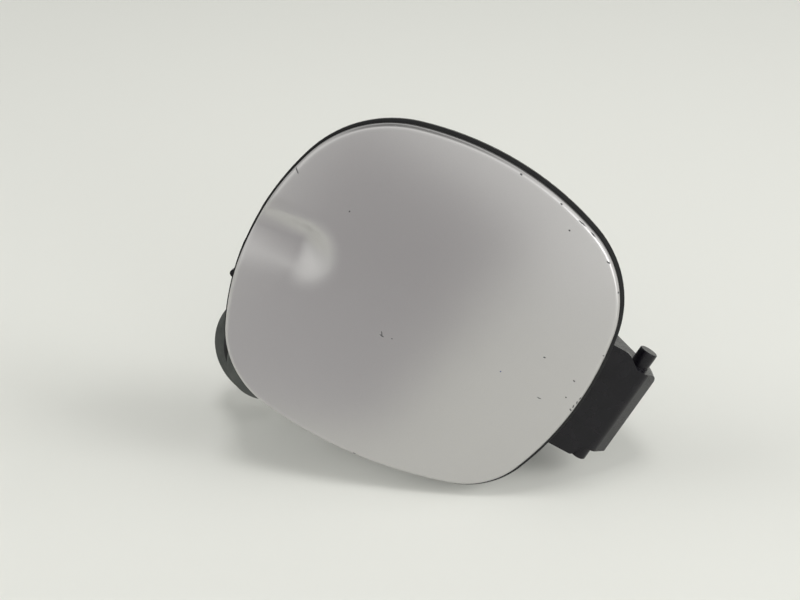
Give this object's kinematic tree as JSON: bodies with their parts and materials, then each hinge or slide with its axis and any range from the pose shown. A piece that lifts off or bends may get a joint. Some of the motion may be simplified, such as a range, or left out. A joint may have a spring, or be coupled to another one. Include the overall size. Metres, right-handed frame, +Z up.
{
  "type": "car fuel door",
  "caption": "Rounded car fuel door: crowned painted skin with a finger scoop on a moulded inner panel, gooseneck hinge arm with pins, and a filler cap hung on a swinging tether.",
  "frame": {"origin": "middle of the lower hinge pin, on the hinge axis", "axes": "+Z up along the hinge axis towards the upper pin, -Y out of the car through the painted face, -X from the hinge to the free edge"},
  "size_m": [0.1982, 0.0625, 0.1781],
  "materials": {
    "silver_paint": "metallic silver car paint under a clear coat",
    "panel_plastic": "fine moulded grain, dull black",
    "arm_plastic": "glass-filled moulding, dull black with a slight sheen",
    "cap_plastic": "moulded, dull charcoal",
    "tether_plastic": "moulded, slightly waxy black",
    "steel": "zinc plated",
    "rubber": "soft black rubber"
  },
  "bodies": {
    "door": {"outer_panel": "silver_paint", "inner_panel": "panel_plastic", "hinge_arm": "arm_plastic", "arm_screw_lower": "steel", "arm_screw_upper": "steel", "latch_tongue": "arm_plastic", "latch_screw": "steel", "push_nut_top_hinge": "steel", "push_nut_top_free": "steel", "push_nut_low_free": "steel", "push_nut_low_hinge": "steel", "buffer_upper": "rubber", "buffer_lower": "rubber", "tether_peg": "arm_plastic"},
    "tether": {"tether_link": "tether_plastic"},
    "cap": {"cap_grip": "cap_plastic", "cap_torque_ring": "tether_plastic", "cap_body": "cap_plastic", "cap_seal": "rubber", "valve_seat": "tether_plastic", "relief_valve": "tether_plastic", "valve_spring": "steel"}
  },
  "joints": [
    {"name": "tether_swing", "type": "hinge", "parent": "door", "child": "tether", "pos_m": [-0.1545, -0.0075, 0.0015], "axis": [0, 1, 0], "range_deg": [-60, 60]},
    {"name": "cap_turn", "type": "hinge", "parent": "tether", "child": "cap", "pos_m": [-0.1545, 0.0157, -0.039], "axis": [0, 1, 0], "continuous": true}
  ]
}
